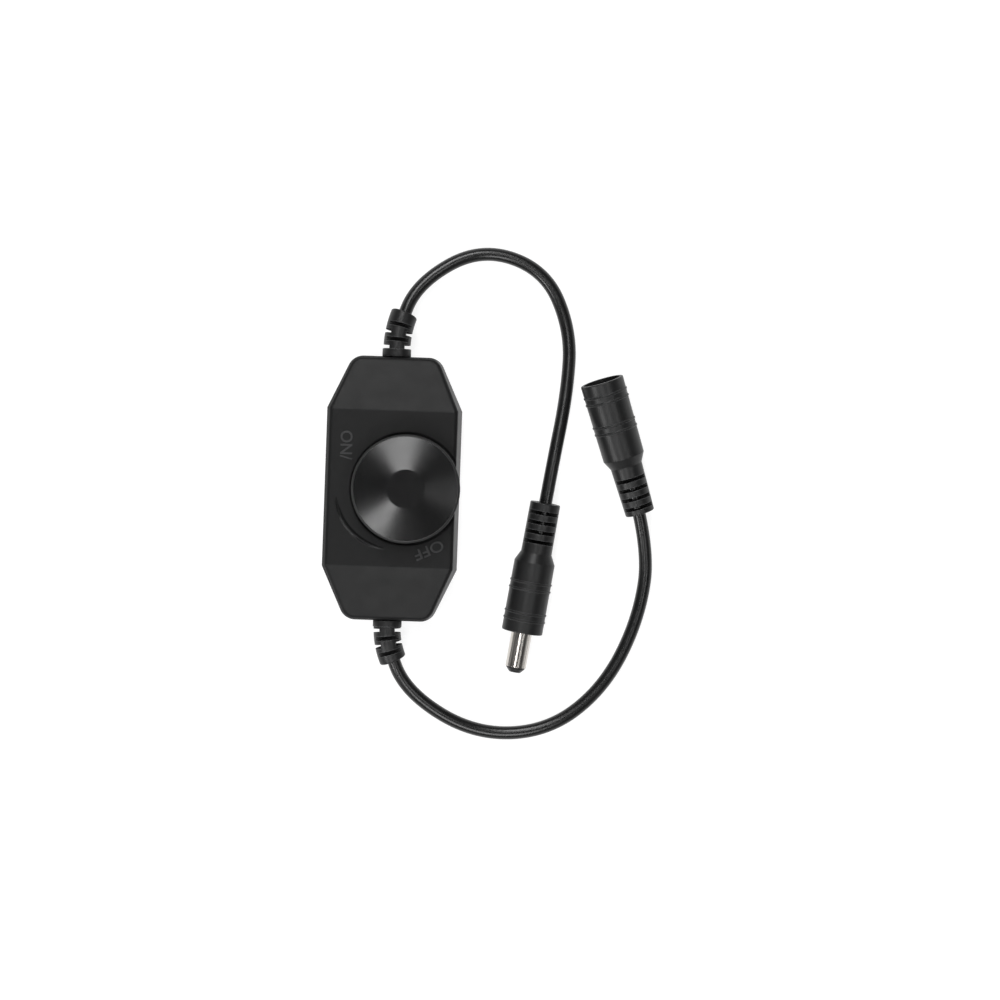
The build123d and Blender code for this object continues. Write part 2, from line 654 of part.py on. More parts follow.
def bend_radii(points, share):
    """The arc at each corner uses a fixed share of the shorter run beside it."""
    radii = []
    for before, at, after in zip(points, points[1:], points[2:]):
        come = (Vector(*at) - Vector(*before)).length
        go = (Vector(*after) - Vector(*at)).length
        half = turn_angle(before, at, after) / 2
        radii.append(share * min(come, go) / math.tan(half))
    return radii


def tube(points, radius, share):
    """A round tube along straight runs joined by tangent arcs."""
    route = FilletPolyline(*points, radius=bend_radii(points, share))
    start = Plane(origin=points[0], z_dir=Vector(*points[1]) - Vector(*points[0]))
    return sweep(start * Circle(radius), path=route), route


def wires(sign):
    """One wire of each cord: from the cord's end over the board and down its hole."""
    made = []
    for side in (1, -1):
        near = sign * WIRE_SPACING / 2
        pad_x = sign * WIRE_PAD_X
        over = BOARD_TOP + WIRE_OVER_BOARD
        pad_y = side * WIRE_PAD_Y
        start_y = side * CORD_INNER_END
        points = [
            (near, start_y, PARTING_HEIGHT),
            (near, start_y - side * WIRE_STRAIGHT, PARTING_HEIGHT),
            (pad_x, pad_y + side * WIRE_STRAIGHT, over),
            (pad_x, pad_y, over),
            (pad_x, pad_y, BOARD_BOTTOM - WIRE_BELOW_BOARD),
        ]
        made.append(tube(points, WIRE_RADIUS, WIRE_BEND_SHARE)[0].solid())
    return Compound(made)


def lying_plane(origin, heading, tilt):
    """A frame whose Z runs along a plug's or jack's axis from its cord's end."""
    turn, lift = math.radians(heading), math.radians(tilt)
    along = (
        math.cos(lift) * math.cos(turn),
        math.cos(lift) * math.sin(turn),
        math.sin(lift),
    )
    across = (-math.sin(turn), math.cos(turn), 0)
    return Plane(origin=origin, x_dir=across, z_dir=along)


def on_axis(plane, along):
    """A point on a plug's or jack's axis, as plain numbers."""
    point = plane.origin + plane.z_dir * along
    return (point.X, point.Y, point.Z)


PLUG_PLANE = lying_plane(PLUG_REAR, PLUG_HEADING, PLUG_TILT)
JACK_PLANE = lying_plane(JACK_REAR, JACK_HEADING, JACK_TILT)


def cord_points(side, relief_corner, corners, plane):
    """A cord's whole route: from inside the housing to inside the plug or jack."""
    inner = (0, side * CORD_INNER_END, PARTING_HEIGHT)
    outer = (0, side * (HALF_LENGTH + relief_corner), PARTING_HEIGHT)
    lying = [(x, side * (HALF_LENGTH + from_wall), z) for x, from_wall, z in corners]
    return [inner, outer, *lying, on_axis(plane, -LEAD_IN), on_axis(plane, CORD_IN_PLUG)]


OUTPUT_POINTS = cord_points(1, OUTPUT_RELIEF_CORNER, OUTPUT_CORNERS, PLUG_PLANE)
INPUT_POINTS = cord_points(-1, INPUT_RELIEF_CORNER, INPUT_CORNERS, JACK_PLANE)


def relief_slots(arc, first_slot):
    """Slots across the bend part, by turns at the sides and above and below."""
    wide = RELIEF_BASE_RADIUS * 2
    reach = (wide - RELIEF_WEB) / 2
    middle = RELIEF_WEB / 2 + reach / 2
    slots = []
    for step in range(RELIEF_SLOT_COUNT):
        share = (first_slot + step * RELIEF_SLOT_PITCH) / arc.length
        along = arc % share
        frame = Plane(origin=arc @ share, x_dir=along.cross(Vector(0, 0, 1)), z_dir=along)
        for sign in (1, -1):
            if step % 2 == 0:
                cut = Pos(sign * middle, 0, 0) * Box(reach, wide, RELIEF_SLOT_WIDTH)
            else:
                cut = Pos(0, sign * middle, 0) * Box(wide, reach, RELIEF_SLOT_WIDTH)
            slots.append(frame * cut)
    return slots


def strain_relief(side, points):
    """Flange, neck and base in the end wall, then a slotted part that bends with the cord."""
    route = tube(points, CORD_RADIUS, CORD_BEND_SHARE)[1]
    arc = route.edges()[1]
    arc_start = side * (arc @ 0).Y
    flange_out = HALF_LENGTH - WALL - RELIEF_FLANGE_GAP
    flange_in = flange_out - RELIEF_FLANGE_THICK
    profile = [
        (0, flange_in),
        (RELIEF_BASE_RADIUS, flange_in),
        (RELIEF_BASE_RADIUS, flange_out),
        (RELIEF_NECK_RADIUS, flange_out),
        (RELIEF_NECK_RADIUS, HALF_LENGTH),
        (RELIEF_BASE_RADIUS, HALF_LENGTH),
        (RELIEF_BASE_RADIUS, arc_start),
        (0, arc_start),
    ]
    held = Rot(-90 * side, 0, 0) * turned(profile)
    relief = Pos(0, 0, PARTING_HEIGHT) * held
    start = Plane(origin=arc @ 0, z_dir=arc % 0)
    bend = sweep(start * Circle(RELIEF_RADIUS), path=arc)
    far_edge = bend.edges().sort_by(lambda e: (e.center() - (arc @ 1)).length)[0]
    relief += fillet(far_edge, RELIEF_EDGE_ROUND)
    first_slot = HALF_LENGTH + RELIEF_FIRST_SLOT - arc_start
    for slot in relief_slots(arc, first_slot):
        relief -= slot
    return relief - tube(points, CORD_RADIUS, CORD_BEND_SHARE)[0]


def bend_slots(radius, first_slot):
    """Slots across a relief from above and below, which leave a flat web round the cord."""
    wide = (radius + REACH) * 2
    section = Rectangle(wide, wide) - Rectangle(wide, SLOT_WEB)
    slot = extrude(section, SLOT_WIDTH / 2, both=True)
    return [Pos(0, 0, first_slot + step * SLOT_PITCH) * slot for step in range(SLOT_COUNT)]


def overmould(length, relief_length, shoulder_length, radii, first_slot):
    """A plug's or jack's grip: slotted relief, cone shoulder and beaded grip."""
    relief_rear, relief_front, rear_radius, front_radius = radii
    grip_start = relief_length + shoulder_length
    profile = make_face(
        Polyline(
            (0, 0),
            (relief_rear, 0),
            (relief_front, relief_length),
            (rear_radius, grip_start),
            (front_radius, length),
            (0, length),
            close=True,
        )
    )
    corners = profile.vertices().filter_by(lambda v: v.X > TINY)
    grip = revolve(Plane.XZ * fillet(corners, GRIP_EDGE_ROUND), Axis.Z)
    for slot in bend_slots(relief_front, first_slot):
        grip -= slot
    for from_mouth in BEAD_FROM_MOUTH:
        share = (length - from_mouth - grip_start) / (length - grip_start)
        radius = rear_radius + (front_radius - rear_radius) * share
        bead = Pos(radius + BEAD_STAND - BEAD_RADIUS, length - from_mouth) * Circle(BEAD_RADIUS)
        grip += revolve(Plane.XZ * bead, Axis.Z)
    return grip - rod(CORD_RADIUS, 0, CORD_IN_PLUG)


def plug_grip():
    """The plug's overmould, with room for the barrel's root."""
    radii = (
        PLUG_RELIEF_REAR_RADIUS,
        PLUG_RELIEF_FRONT_RADIUS,
        PLUG_GRIP_REAR_RADIUS,
        PLUG_GRIP_FRONT_RADIUS,
    )
    grip = overmould(PLUG_LENGTH, PLUG_RELIEF_LENGTH, PLUG_SHOULDER_LENGTH, radii, PLUG_FIRST_SLOT)
    grip -= rod(BARREL_ROOT_RADIUS, BARREL_ROOT, PLUG_LENGTH + REACH)
    return PLUG_PLANE * grip


def plug_barrel():
    """The metal barrel, drawn narrower where the overmould holds it."""
    inner_step = PLUG_LENGTH + BARREL_WALL
    points = [
        (BARREL_ROOT_INNER_RADIUS, BARREL_ROOT),
        (BARREL_ROOT_RADIUS, BARREL_ROOT),
        (BARREL_ROOT_RADIUS, PLUG_LENGTH),
        (BARREL_RADIUS, PLUG_LENGTH),
        (BARREL_RADIUS, BARREL_MOUTH),
        (BARREL_INNER_RADIUS, BARREL_MOUTH),
        (BARREL_INNER_RADIUS, inner_step),
        (BARREL_ROOT_INNER_RADIUS, inner_step),
    ]
    return PLUG_PLANE * turned(points)


def plug_insulator():
    """The lining of the barrel, which stands out of it as a cone-shaped tip."""
    inner_step = PLUG_LENGTH + BARREL_WALL
    back = BARREL_ROOT + CONTACT_BACK
    points = [
        (0, BARREL_ROOT),
        (BARREL_ROOT_INNER_RADIUS, BARREL_ROOT),
        (BARREL_ROOT_INNER_RADIUS, inner_step),
        (BARREL_INNER_RADIUS, inner_step),
        (BARREL_INNER_RADIUS, BARREL_MOUTH),
        (TIP_RADIUS, BARREL_MOUTH),
        (TIP_EDGE_RADIUS, BARREL_MOUTH + TIP_BAND),
        (TIP_NOSE_RADIUS, PLUG_NOSE),
        (CONTACT_BORE_RADIUS, PLUG_NOSE),
        (CONTACT_BORE_RADIUS, CONTACT_END),
        (CONTACT_RADIUS, CONTACT_END),
        (CONTACT_RADIUS, back),
        (0, back),
    ]
    return PLUG_PLANE * turned(points)


def plug_contact():
    """The inner contact, bored for the other connector's pin."""
    contact = rod(CONTACT_RADIUS, BARREL_ROOT + CONTACT_BACK, CONTACT_END)
    contact -= rod(CONTACT_BORE_RADIUS, CONTACT_END - CONTACT_DEPTH, CONTACT_END + REACH)
    return PLUG_PLANE * contact


def jack_grip():
    """The jack's overmould, open at its mouth for the insert."""
    radii = (
        JACK_RELIEF_REAR_RADIUS,
        JACK_RELIEF_FRONT_RADIUS,
        JACK_GRIP_REAR_RADIUS,
        JACK_GRIP_FRONT_RADIUS,
    )
    grip = overmould(JACK_LENGTH, JACK_RELIEF_LENGTH, JACK_SHOULDER_LENGTH, radii, JACK_FIRST_SLOT)
    return JACK_PLANE * (grip - rod(INSERT_RADIUS, INSERT_BACK, JACK_LENGTH + REACH))


def spring_room(low, high):
    """The slot beside the socket in which the spring contact lies."""
    return block(SPRING_ROOM * 2, SPRING_WIDTH, low, high, SOCKET_RADIUS)


def jack_insert():
    """The insulator with the socket, the pin's hole and the spring's slot."""
    insert = rod(INSERT_RADIUS, INSERT_BACK, INSERT_FACE)
    insert -= rod(SOCKET_RADIUS, SOCKET_FLOOR, INSERT_FACE + REACH)
    insert -= spring_room(SOCKET_FLOOR, SOCKET_FLOOR + SPRING_LENGTH)
    insert -= rod(JACK_STEM_RADIUS, INSERT_BACK, SOCKET_FLOOR)
    return JACK_PLANE * insert


def jack_pin():
    """The centre pin, with a thicker stem held in the insert."""
    pin = rod(JACK_PIN_RADIUS, SOCKET_FLOOR, INSERT_FACE - JACK_PIN_SETBACK)
    pin = fillet(pin.faces().sort_by(Axis.Z)[-1].edges(), JACK_PIN_RADIUS / 2)
    pin += rod(JACK_STEM_RADIUS, INSERT_BACK, SOCKET_FLOOR)
    return JACK_PLANE * pin


def jack_spring():
    """A bowed strip that stands a little way into the socket."""
    back = SOCKET_RADIUS + SPRING_ROOM
    front = back - SPRING_THICK
    low = SOCKET_FLOOR
    middle = low + SPRING_LENGTH / 2
    high = low + SPRING_LENGTH
    inner = ThreePointArc((front, low), (front - SPRING_RISE, middle), (front, high))
    outer = ThreePointArc((back, low), (back - SPRING_RISE, middle), (back, high))
    ends = [Line((front, low), (back, low)), Line((front, high), (back, high))]
    side = make_face([inner, outer, *ends])
    half_width = SPRING_WIDTH / 2 - SPRING_SIDE_GAP
    return JACK_PLANE * extrude(Plane.XZ * side, half_width, both=True)


def output_cord():
    """The cord from the housing to the plug."""
    return tube(OUTPUT_POINTS, CORD_RADIUS, CORD_BEND_SHARE)[0]


def input_cord():
    """The cord from the housing to the jack."""
    return tube(INPUT_POINTS, CORD_RADIUS, CORD_BEND_SHARE)[0]


def report_cords():
    """Prints each cord's bend radii, its length and how its volume compares."""
    for name, points in (("output", OUTPUT_POINTS), ("input", INPUT_POINTS)):
        solid, route = tube(points, CORD_RADIUS, CORD_BEND_SHARE)
        radii = [round(r, 1) for r in bend_radii(points, CORD_BEND_SHARE)]
        expected = math.pi * CORD_RADIUS**2 * route.length
        print(name, "cord radii", radii, "length", round(route.length, 1))
        print(name, "cord volume over section by length", round(solid.volume / expected, 4))


PARTS = {
    "upper_housing": upper_housing,
    "lower_housing": lower_housing,
    "housing_screws": housing_screws,
    "knob": knob,
    "pot_shaft": pot_shaft,
    "pot_wiper": pot_wiper,
    "pot_cover": pot_cover,
    "pot_base": pot_base,
    "pot_pins": pot_pins,
    "circuit_board": circuit_board,
    "control_chip": control_chip,
    "power_transistor": power_transistor,
    "filter_capacitor": filter_capacitor,
    "clamp_diode": clamp_diode,
    "chip_resistors": chip_resistors,
    "positive_wires": lambda: wires(1),
    "negative_wires": lambda: wires(-1),
    "output_strain_relief": lambda: strain_relief(1, OUTPUT_POINTS),
    "input_strain_relief": lambda: strain_relief(-1, INPUT_POINTS),
    "output_cord": output_cord,
    "input_cord": input_cord,
    "plug_grip": plug_grip,
    "plug_barrel": plug_barrel,
    "plug_insulator": plug_insulator,
    "plug_contact": plug_contact,
    "jack_grip": jack_grip,
    "jack_insert": jack_insert,
    "jack_pin": jack_pin,
    "jack_spring": jack_spring,
}

os.makedirs("parts", exist_ok=True)
for name, make in PARTS.items():
    export_step(make(), f"parts/{name}.step")
report_cords()
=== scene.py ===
import json
import math

import bpy
from mathutils import Matrix, Vector


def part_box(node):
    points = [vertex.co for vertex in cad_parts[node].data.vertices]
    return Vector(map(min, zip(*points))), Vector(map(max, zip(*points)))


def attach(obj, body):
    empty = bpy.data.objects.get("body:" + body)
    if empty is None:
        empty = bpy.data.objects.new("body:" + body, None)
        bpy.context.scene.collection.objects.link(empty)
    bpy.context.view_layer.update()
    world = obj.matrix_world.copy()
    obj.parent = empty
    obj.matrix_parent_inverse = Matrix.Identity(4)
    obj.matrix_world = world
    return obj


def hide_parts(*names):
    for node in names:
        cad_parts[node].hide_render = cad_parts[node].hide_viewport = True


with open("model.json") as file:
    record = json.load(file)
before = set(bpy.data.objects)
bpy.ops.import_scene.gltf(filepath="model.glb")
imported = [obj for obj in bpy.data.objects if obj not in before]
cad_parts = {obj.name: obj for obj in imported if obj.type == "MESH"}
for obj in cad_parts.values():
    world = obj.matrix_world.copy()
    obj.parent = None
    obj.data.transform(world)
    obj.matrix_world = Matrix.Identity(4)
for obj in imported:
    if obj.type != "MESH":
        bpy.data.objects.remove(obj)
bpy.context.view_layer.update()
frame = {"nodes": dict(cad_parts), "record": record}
nodes = frame["nodes"]
mounts = {mount["name"]: mount for mount in frame["record"]["mounts"]}

# Lengths are in metres and angles in degrees, unless a name says otherwise. Colours are linear.

# Camera, straight above the floor as in the photograph
CAMERA_PLACE = (0.0287, -0.00201, 1.0)
CAMERA_TURN = 2.02
SENSOR_WIDTH_MM = 36.0
FLOOR_IN_FRAME = 0.2668

# Cords: the corner points of the routes of their solids.
# A point's radius times the depth is the tube's radius.
CORD_RADIUS = 0.00175
CORD_DEPTH = 1.0
CORD_ROUNDING = 10
CORD_STEPS = 24
CORD_ORDER = 3
OUTPUT_ROUTE = [
    (0.0, 0.031, 0.007),
    (0.0, 0.0419, 0.007),
    (0.00475, 0.05475, 0.004425),
    (0.021, 0.065, 0.00185),
    (0.0385, 0.05975, 0.00185),
    (0.046, 0.04375, 0.00185),
    (0.0455, 0.02675, 0.004),
    (0.04209, 0.006785, 0.008268),
    (0.039453, -0.011289, 0.007151),
]
INPUT_ROUTE = [
    (0.0, -0.031, 0.007),
    (0.0, -0.0412, 0.007),
    (0.00575, -0.054, 0.004425),
    (0.02375, -0.0645, 0.00185),
    (0.04325, -0.06325, 0.00185),
    (0.058, -0.05125, 0.00185),
    (0.06675, -0.0325, 0.00185),
    (0.068922, -0.012834, 0.002706),
    (0.063172, 0.004352, 0.005253),
]

# Raised words on the housing's flat face. A size is a word's length and its letters' height.
FACE_HEIGHT = 0.017
WORD_RISE = 0.00016
WORD_BEVEL = 0.00006
WORD_SINK = 0.00005
ON_PLACE = (-0.01207, 0.01098)
ON_HEADING = -90.0
ON_SIZE = (0.00748, 0.0031)
OFF_PLACE = (0.01055, -0.01585)
OFF_HEADING = 204.5
OFF_SIZE = (0.0079, 0.0028)

# Cross recess in the screw heads
SCREW_HEAD_RADIUS = 0.002
RECESS_DEPTH = 0.0009
RECESS_LENGTH = 0.0022
RECESS_WIDTH = 0.0005
WELD_REACH = 0.0000005

# Finish of the housing and the knob where it changes with height or with the way a face looks.
# The limits are those of the X part and the Z part of a face's normal.
POLISH_RISE = 0.00005
KNOB_SIDE_LIMITS = (0.3, 0.6)
UPRIGHT_LIMITS = (0.2, 0.4)
RIM_HEIGHT = 0.024
RIM_BLEND = 0.00004

# Pale edges, part rubbed wear and part painted highlight along the raised rings: how far they reach,
# how pale they are, and the cosines of the normal's turn at which an edge is fully pale or not at all
WEAR_AND_HIGHLIGHT_REACH = 0.0003
WEAR_AND_HIGHLIGHT_LEVEL = 0.075
WEAR_AND_HIGHLIGHT_FULL = 0.9
WEAR_AND_HIGHLIGHT_NONE = 0.985

# Slots: how far the test for them reaches, how open a slot and an outer face are, and a slot's look: its
# roughness and the level of the painted shade that darkens it
SLOT_REACH = 0.002
SLOT_OPENNESS = 0.5
FACE_OPENNESS = 0.85
SLOT_ROUGHNESS = 0.95
SLOT_PAINTED_SHADE_LEVEL = 0.003

# Patches and lines of the materials, in cycles a metre, and the relief of bare metal
PATCHES = 90.0
SHEEN_PATCHES = 260.0
METAL_LINES = 5000.0
LINE_DEPTH = 0.0000015
LINE_SQUEEZE = 0.97
METAL_EDGE = 0.0001

# Share by which a grey leans to blue, and the ways in which metal is drawn
COOL_SHARE = 0.02
UPWARDS = (0.0, 0.0, 1.0)
LENGTHWAYS = (0.0, 1.0, 0.0)

# Noise: its layers of detail, and the limits between which most of it lies
FEW_LAYERS = 2.0
SOME_LAYERS = 3.0
MANY_LAYERS = 4.0
NOISE_LOW = 0.3
NOISE_HIGH = 0.7

# Sockets of the node that mixes colours, and samples of the nodes that look round a place
MIX_FIRST = 6
MIX_SECOND = 7
MIX_RESULT = 2
EDGE_SAMPLES = 6
SLOT_SAMPLES = 4

# Circuit board: tracks under a green mask, and the cut edges
TRACKS = 260.0
TRACK_DEPTH = 0.00004
TRACK_WANDER = 3.0
TRACK_LIMITS = (0.55, 0.6)
MASK_COLOUR = (0.01, 0.09, 0.03, 1.0)
TRACK_COLOUR = (0.03, 0.17, 0.06, 1.0)
CUT_COLOUR = (0.42, 0.33, 0.16, 1.0)
MASK_LIMIT = 0.5
MASK_ROUGHNESS = (0.25, 0.4)

# Moulded components and their tinned feet
EPOXY_LEVELS = (0.012, 0.02)
EPOXY_ROUGHNESS = (0.4, 0.55)
TIN_COLOUR = (0.62, 0.62, 0.6, 1.0)
FOOT_HEIGHT = 0.0003
FOOT_BLEND = 0.00005

# Capacitor's can and its polarity mark
CAN_CLEAN = (0.7, 0.71, 0.72, 1.0)
CAN_DULL = (0.6, 0.61, 0.62, 1.0)
CAN_ROUGHNESS = (0.28, 0.4)
CAN_MARK_LEVEL = 0.03
CAN_MARK_SHARE = 0.45
CAN_MARK_BLEND = 0.0001

# Room and floor
HORIZON_LEVEL = 0.6
OVERHEAD_LEVEL = 0.04
HORIZON_RISE = 0.5
FLOOR_RADIUS = 3.0
FLOOR_DROP = 0.00005
FLOOR_COLOUR = (0.25, 0.25, 0.25, 1.0)
FLOOR_ROUGHNESS = 0.9
FLOOR_GLOW = 0.85
WHITE = (1.0, 1.0, 1.0, 1.0)

# Lamps: two boxes for the sloping ends, two smaller ones for the knob and one at each side
LAMP_TARGET = Vector((0.03, 0.0, 0.01))
LAMPS = [
    dict(name="top_box", azimuth=99, lean=40, distance=1.3, width=0.46, depth=0.46, radiance=12.0),
    dict(name="bottom_box", azimuth=268, lean=38, distance=1.3, width=0.46, depth=0.46, radiance=9.2),
    dict(name="top_key", azimuth=108, lean=16, distance=1.2, width=0.3, depth=0.22, radiance=8.2),
    dict(name="left_key", azimuth=225, lean=17, distance=1.2, width=0.19, depth=0.22, radiance=9.0),
    dict(name="left_box", azimuth=216, lean=54, distance=1.2, width=0.42, depth=0.24, radiance=14.0),
    dict(name="right_box", azimuth=355, lean=26, distance=1.2, width=0.36, depth=0.3, radiance=5.2),
]


def link(piece):
    """Puts a new object in the scene."""
    bpy.context.scene.collection.objects.link(piece)
    return piece


def dress(piece, material):
    """Gives an object one material."""
    piece.data.materials.clear()
    piece.data.materials.append(material)


def mesh_of(piece):
    """The final mesh of an object, as data of its own."""
    graph = bpy.context.evaluated_depsgraph_get()
    return bpy.data.meshes.new_from_object(piece.evaluated_get(graph))


def make_camera():
    """A camera that looks straight down, turned as the photograph is."""
    data = bpy.data.cameras.new("camera")
    data.sensor_fit = "HORIZONTAL"
    data.sensor_width = SENSOR_WIDTH_MM
    data.lens = SENSOR_WIDTH_MM * CAMERA_PLACE[2] / FLOOR_IN_FRAME
    camera = link(bpy.data.objects.new("camera", data))
    camera.location = CAMERA_PLACE
    camera.rotation_euler = (0.0, 0.0, math.radians(CAMERA_TURN))
    bpy.context.scene.camera = camera


def route_curve(name, route):
    """A round tube along one smooth spline whose control points are the route's corners."""
    data = bpy.data.curves.new(name, "CURVE")
    data.dimensions = "3D"
    data.bevel_depth = CORD_DEPTH
    data.bevel_resolution = CORD_ROUNDING
    data.use_fill_caps = True
    spline = data.splines.new("NURBS")
    spline.points.add(len(route) - 1)
    for point, place in zip(spline.points, route):
        point.co = (*place, 1.0)
        point.radius = CORD_RADIUS
    spline.order_u = CORD_ORDER
    spline.use_endpoint_u = True
    spline.resolution_u = CORD_STEPS
    return data


def make_cord(name, route, node):
    """A cord that stands for its solid, which it hides, and is carried by the housing."""
    cord = link(bpy.data.objects.new(name, route_curve(name, route)))
    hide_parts(node)
    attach(cord, "housing")
    return cord


def raised_word(name, word, place, heading, size):
    """A word in low relief on the flat face, fitted to a length and a letter height."""
    data = bpy.data.curves.new(name + "_text", "FONT")
    data.body = word
    text = link(bpy.data.objects.new(name + "_text", data))
    bpy.context.view_layer.update()
    low = [min(corner[k] for corner in text.bound_box) for k in range(2)]
    high = [max(corner[k] for corner in text.bound_box) for k in range(2)]
    scale = [size[k] / (high[k] - low[k]) for k in range(2)]
    data.extrude = WORD_RISE / scale[1]
    data.bevel_depth = WORD_BEVEL / scale[1]
    bpy.context.view_layer.update()
    mesh = mesh_of(text)
    bpy.data.objects.remove(text)
    centre = Vector(((low[0] + high[0]) / 2, (low[1] + high[1]) / 2, 0.0))
    fit = Matrix.Diagonal((scale[0], scale[1], scale[1], 1.0)) @ Matrix.Translation(-centre)
    turn = Matrix.Rotation(math.radians(heading), 4, "Z")
    lift = Matrix.Translation((*place, FACE_HEIGHT - WORD_SINK))
    mesh.transform(lift @ turn @ fit)
    piece = link(bpy.data.objects.new(name, mesh))
    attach(piece, "housing")
    return piece


def box_mesh(name, size, place):
    """A plain box, used only to cut with."""
    mesh = bpy.data.meshes.new(name)
    half = [length / 2 for length in size]
    corners = [(x, y, z) for x in (-1, 1) for y in (-1, 1) for z in (-1, 1)]
    points = [[place[k] + corner[k] * half[k] for k in range(3)] for corner in corners]
    faces = [(0, 1, 3, 2), (4, 6, 7, 5), (0, 4, 5, 1), (2, 3, 7, 6), (0, 2, 6, 4), (1, 5, 7, 3)]
    mesh.from_pydata(points, [], faces)
    return link(bpy.data.objects.new(name, mesh))


def recess_cutters():
    """Two crossed boxes at each screw head, half of their height in it."""
    low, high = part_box("housing_screws")
    edge = SCREW_HEAD_RADIUS
    places = [(low[0] + edge, high[1] - edge, low[2]), (high[0] - edge, low[1] + edge, low[2])]
    cutters = []
    for place in places:
        for size in ((RECESS_LENGTH, RECESS_WIDTH), (RECESS_WIDTH, RECESS_LENGTH)):
            cutters.append(box_mesh("screw_cut", (*size, RECESS_DEPTH * 2), place))
    return cutters


def crossed_screws():
    """The screws with a cross recess cut into each head."""
    work = link(bpy.data.objects.new("screw_work", nodes["housing_screws"].data.copy()))
    cutters = recess_cutters()
    weld = work.modifiers.new("weld", "WELD")
    weld.merge_threshold = WELD_REACH
    for cutter in cutters:
        cut = work.modifiers.new("cut", "BOOLEAN")
        cut.operation = "DIFFERENCE"
        cut.solver = "EXACT"
        cut.object = cutter
    bpy.context.view_layer.update()
    mesh = mesh_of(work)
    for spare in [work, *cutters]:
        bpy.data.objects.remove(spare)
    piece = link(bpy.data.objects.new("cross_screws", mesh))
    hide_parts("housing_screws")
    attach(piece, "housing")
    return piece


class Tree:
    """A new material and short ways to add nodes to it."""

    def __init__(self, name):
        self.name = name
        self.material = bpy.data.materials.new(name)
        self.material.use_nodes = True
        self.nodes = self.material.node_tree.nodes
        self.links = self.material.node_tree.links
        self.shader = self.nodes["Principled BSDF"]
        self.place = self.nodes.new("ShaderNodeTexCoord").outputs["Object"]

    def add(self, kind, settings=None, **inputs):
        """A node with its settings, its constant inputs and its linked inputs."""
        node = self.nodes.new(kind)
        for key, value in (settings or {}).items():
            setattr(node, key, value)
        for key, value in inputs.items():
            self.put(node, key.replace("_", " "), value)
        return node

    def put(self, node, key, value):
        """Sets an input, by a link where the value is another node's output."""
        if isinstance(value, bpy.types.NodeSocket):
            self.links.new(value, node.inputs[key])
        else:
            node.inputs[key].default_value = value

    def set(self, **inputs):
        """Sets inputs of the surface shader."""
        for key, value in inputs.items():
            self.put(self.shader, key.replace("_", " "), value)

    def number(self, operation, first, second=None):
        """A number worked out from one or two others."""
        node = self.add("ShaderNodeMath", {"operation": operation})
        self.put(node, 0, first)
        if second is not None:
            self.put(node, 1, second)
        return node.outputs["Value"]

    def vector(self, operation, first, second):
        """The node that works out something from two vectors."""
        node = self.add("ShaderNodeVectorMath", {"operation": operation})
        self.put(node, 0, first)
        self.put(node, 1, second)
        return node

    def geometry(self, output):
        """A fact about the place on the surface."""
        return self.add("ShaderNodeNewGeometry").outputs[output]

    def noise(self, scale, layers=FEW_LAYERS, place=None):
        """Noise from 0 to 1, with its scale in cycles a metre."""
        node = self.add("ShaderNodeTexNoise", Scale=scale, Detail=layers, Vector=place or self.place)
        return node.outputs["Fac"]

    def spread(self, value, low, high, start=NOISE_LOW, end=NOISE_HIGH):
        """A value that goes from low to high as another goes from start to end."""
        node = self.add("ShaderNodeMapRange", To_Min=low, To_Max=high)
        self.put(node, "From Min", start)
        self.put(node, "From Max", end)
        self.put(node, "Value", value)
        return node.outputs["Result"]

    def part(self, vector, axis):
        """One coordinate of a vector."""
        return self.add("ShaderNodeSeparateXYZ", Vector=vector).outputs[axis]

    def height(self):
        """How high a place is."""
        return self.part(self.place, "Z")

    def blend(self, factor, first, second):
        """A colour between two colours."""
        node = self.add("ShaderNodeMix", {"data_type": "RGBA"}, Factor=factor)
        self.put(node, MIX_FIRST, first)
        self.put(node, MIX_SECOND, second)
        return node.outputs[MIX_RESULT]

    def bump(self, height, depth, normal=None):
        """A bumped normal, with its depth in metres."""
        node = self.add("ShaderNodeBump", Distance=depth, Height=height)
        if normal is not None:
            self.put(node, "Normal", normal)
        return node.outputs["Normal"]

    def rounded(self, radius):
        """Normals as if every edge had this radius."""
        return self.add("ShaderNodeBevel", {"samples": EDGE_SAMPLES}, Radius=radius).outputs["Normal"]

    def edges(self, reach):
        """1 at an edge and 0 on an even face, by how far the normal turns within the reach."""
        turn = self.vector("DOT_PRODUCT", self.rounded(reach), self.geometry("Normal"))
        return self.spread(turn.outputs["Value"], 1.0, 0.0, WEAR_AND_HIGHLIGHT_FULL, WEAR_AND_HIGHLIGHT_NONE)

    def openness(self, reach):
        """How open a place is, from 0 deep in a slot to 1 on an outer face."""
        node = self.add("ShaderNodeAmbientOcclusion", {"samples": SLOT_SAMPLES}, Distance=reach)
        return self.spread(node.outputs["AO"], 0.0, 1.0, SLOT_OPENNESS, FACE_OPENNESS)

    def stretched(self, axis):
        """The place squeezed along an axis, so that a texture on it is drawn out that way."""
        dot = self.vector("DOT_PRODUCT", self.place, axis)
        along = self.add("ShaderNodeVectorMath", {"operation": "SCALE"}, Scale=dot.outputs["Value"])
        self.put(along, 0, [part * LINE_SQUEEZE for part in axis])
        return self.vector("SUBTRACT", self.place, along.outputs["Vector"]).outputs["Vector"]


def grey(level):
    """A neutral colour, a very little blue."""
    return (level * (1 - COOL_SHARE), level, level * (1 + COOL_SHARE), 1.0)


